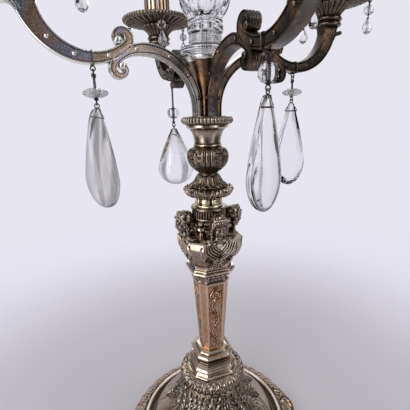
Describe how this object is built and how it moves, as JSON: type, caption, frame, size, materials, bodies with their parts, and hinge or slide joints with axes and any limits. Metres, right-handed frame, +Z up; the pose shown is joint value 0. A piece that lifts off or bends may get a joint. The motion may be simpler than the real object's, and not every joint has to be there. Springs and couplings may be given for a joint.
{
  "type": "girandole candle holder",
  "caption": "Silvered bronze girandole: tapered stem with cast heads on a domed foot, scrolled branch, glass column, candle nozzles on drip pans, hanging glass drops",
  "frame": {"origin": "centre of the foot's underside, on the table", "axes": "+Z up the stem; +X and +Y square to two faces of the shaft"},
  "size_m": [0.2948, 0.2948, 0.544],
  "materials": {
    "silvered_bronze": "worn silvering",
    "gilt_bronze": "pale gilding",
    "copper_hub": "copper showing through",
    "steel": "plain",
    "dark_wire": "oxidised wire",
    "clear_glass": "polished",
    "smoky_glass": "polished"
  },
  "bodies": {
    "flambeau": {"foot": "silvered_bronze", "foot_collar": "silvered_bronze", "stem_plinth": "silvered_bronze", "baluster_shaft": "silvered_bronze", "shaft_cap": "silvered_bronze", "bust_block": "silvered_bronze", "bust_heads": "silvered_bronze", "fluted_ring": "silvered_bronze", "neck_spool": "gilt_bronze", "leaf_disc": "silvered_bronze", "leaf_bell": "silvered_bronze", "socket_vase": "silvered_bronze", "tie_rod": "steel", "tie_washer": "steel", "tie_nut": "steel"},
    "bobeche": {"rim_bobeche": "silvered_bronze"},
    "branch": {"branch_plug": "silvered_bronze", "branch_hub": "copper_hub", "arm_1": "silvered_bronze", "arm_2": "silvered_bronze", "arm_3": "silvered_bronze", "arm_4": "silvered_bronze", "column_ferrule": "silvered_bronze", "glass_column": "clear_glass", "cup_calyxes": "silvered_bronze", "drip_pan_1": "silvered_bronze", "drip_pan_2": "silvered_bronze", "drip_pan_3": "silvered_bronze", "drip_pan_4": "silvered_bronze", "candle_nozzle_1": "silvered_bronze", "candle_nozzle_2": "silvered_bronze", "candle_nozzle_3": "silvered_bronze", "candle_nozzle_4": "silvered_bronze", "nozzle_screws": "steel", "pendant_hooks": "dark_wire"},
    "link_1": {"pendant_link_1": "dark_wire", "pendant_bead_1": "clear_glass"},
    "drop_1": {"pendant_drop_1": "clear_glass"},
    "link_2": {"pendant_link_2": "dark_wire", "pendant_bead_2": "clear_glass"},
    "drop_2": {"pendant_drop_2": "clear_glass"},
    "link_3": {"pendant_link_3": "dark_wire", "pendant_bead_3": "clear_glass"},
    "drop_3": {"pendant_drop_3": "smoky_glass"},
    "link_4": {"pendant_link_4": "dark_wire", "pendant_bead_4": "clear_glass"},
    "drop_4": {"pendant_drop_4": "clear_glass"},
    "pan_drop_1a": {"pan_drop_1a": "clear_glass"},
    "pan_drop_1b": {"pan_drop_1b": "clear_glass"},
    "pan_drop_1c": {"pan_drop_1c": "clear_glass"},
    "pan_drop_2a": {"pan_drop_2a": "clear_glass"},
    "pan_drop_2b": {"pan_drop_2b": "clear_glass"},
    "pan_drop_2c": {"pan_drop_2c": "clear_glass"},
    "pan_drop_3a": {"pan_drop_3a": "clear_glass"},
    "pan_drop_3b": {"pan_drop_3b": "clear_glass"},
    "pan_drop_3c": {"pan_drop_3c": "clear_glass"},
    "pan_drop_4a": {"pan_drop_4a": "clear_glass"},
    "pan_drop_4b": {"pan_drop_4b": "clear_glass"},
    "pan_drop_4c": {"pan_drop_4c": "clear_glass"}
  },
  "joints": [
    {"name": "bobeche_lift", "type": "slide", "parent": "flambeau", "child": "bobeche", "axis": [0, 0, 1], "range_m": [0, 0.03]},
    {"name": "branch_turn", "type": "hinge", "parent": "bobeche", "child": "branch", "pos_m": [0, 0, 0.3093], "axis": [0, 0, 1], "continuous": true},
    {"name": "link_1_swing", "type": "hinge", "parent": "branch", "child": "link_1", "pos_m": [0.07926, 0.00624, 0.3415], "axis": [0.9969, 0.0785, 0], "range_deg": [-25, 25]},
    {"name": "drop_1_swing", "type": "hinge", "parent": "link_1", "child": "drop_1", "pos_m": [0.07926, 0.00624, 0.323], "axis": [-0.0785, 0.9969, 0], "range_deg": [-25, 25]},
    {"name": "link_2_swing", "type": "hinge", "parent": "branch", "child": "link_2", "pos_m": [-0.00624, 0.07926, 0.3415], "axis": [-0.0785, 0.9969, 0], "range_deg": [-25, 25]},
    {"name": "drop_2_swing", "type": "hinge", "parent": "link_2", "child": "drop_2", "pos_m": [-0.00624, 0.07926, 0.3021], "axis": [-0.9969, -0.0785, 0], "range_deg": [-25, 25]},
    {"name": "link_3_swing", "type": "hinge", "parent": "branch", "child": "link_3", "pos_m": [-0.07926, -0.00624, 0.3415], "axis": [-0.9969, -0.0785, 0], "range_deg": [-25, 25]},
    {"name": "drop_3_swing", "type": "hinge", "parent": "link_3", "child": "drop_3", "pos_m": [-0.07926, -0.00624, 0.3203], "axis": [0.0785, -0.9969, 0], "range_deg": [-25, 25]},
    {"name": "link_4_swing", "type": "hinge", "parent": "branch", "child": "link_4", "pos_m": [0.00624, -0.07926, 0.3415], "axis": [0.0785, -0.9969, 0], "range_deg": [-25, 25]},
    {"name": "drop_4_swing", "type": "hinge", "parent": "link_4", "child": "drop_4", "pos_m": [0.00624, -0.07926, 0.3247], "axis": [0.9969, 0.0785, 0], "range_deg": [-25, 25]},
    {"name": "pan_drop_1a_swing", "type": "hinge", "parent": "branch", "child": "pan_drop_1a", "pos_m": [0.11231, 0.04089, 0.39875], "axis": [-0.0262, 0.9997, 0], "range_deg": [-25, 25]},
    {"name": "pan_drop_1b_swing", "type": "hinge", "parent": "branch", "child": "pan_drop_1b", "pos_m": [0.08587, -0.00782, 0.39875], "axis": [-0.8526, -0.5225, 0], "range_deg": [-25, 25]},
    {"name": "pan_drop_1c_swing", "type": "hinge", "parent": "branch", "child": "pan_drop_1c", "pos_m": [0.14127, -0.00636, 0.39875], "axis": [0.8788, -0.4772, 0], "range_deg": [-25, 25]},
    {"name": "pan_drop_2a_swing", "type": "hinge", "parent": "branch", "child": "pan_drop_2a", "pos_m": [-0.03463, 0.13218, 0.39875], "axis": [-0.8039, 0.5948, 0], "range_deg": [-25, 25]},
    {"name": "pan_drop_2b_swing", "type": "hinge", "parent": "branch", "child": "pan_drop_2b", "pos_m": [-0.01253, 0.08136, 0.39875], "axis": [-0.1132, -0.9936, 0], "range_deg": [-25, 25]},
    {"name": "pan_drop_2c_swing", "type": "hinge", "parent": "branch", "child": "pan_drop_2c", "pos_m": [0.02044, 0.12591, 0.39875], "axis": [0.9171, 0.3987, 0], "range_deg": [-25, 25]},
    {"name": "pan_drop_3a_swing", "type": "hinge", "parent": "branch", "child": "pan_drop_3a", "pos_m": [-0.12488, -0.03868, 0.39875], "axis": [-0.3665, -0.9304, 0], "range_deg": [-25, 25]},
    {"name": "pan_drop_3b_swing", "type": "hinge", "parent": "branch", "child": "pan_drop_3b", "pos_m": [-0.0815, -0.00417, 0.39875], "axis": [0.989, 0.1478, 0], "range_deg": [-25, 25]},
    {"name": "pan_drop_3c_swing", "type": "hinge", "parent": "branch", "child": "pan_drop_3c", "pos_m": [-0.13307, 0.01614, 0.39875], "axis": [-0.6225, 0.7826, 0], "range_deg": [-25, 25]},
    {"name": "pan_drop_4a_swing", "type": "hinge", "parent": "branch", "child": "pan_drop_4a", "pos_m": [0.04037, -0.11898, 0.39875], "axis": [0.9833, -0.1822, 0], "range_deg": [-25, 25]},
    {"name": "pan_drop_4b_swing", "type": "hinge", "parent": "branch", "child": "pan_drop_4b", "pos_m": [-0.00178, -0.08299, 0.39875], "axis": [-0.3338, 0.9426, 0], "range_deg": [-25, 25]},
    {"name": "pan_drop_4c_swing", "type": "hinge", "parent": "branch", "child": "pan_drop_4c", "pos_m": [-0.01188, -0.13748, 0.39875], "axis": [-0.6494, -0.7604, 0], "range_deg": [-25, 25]}
  ]
}
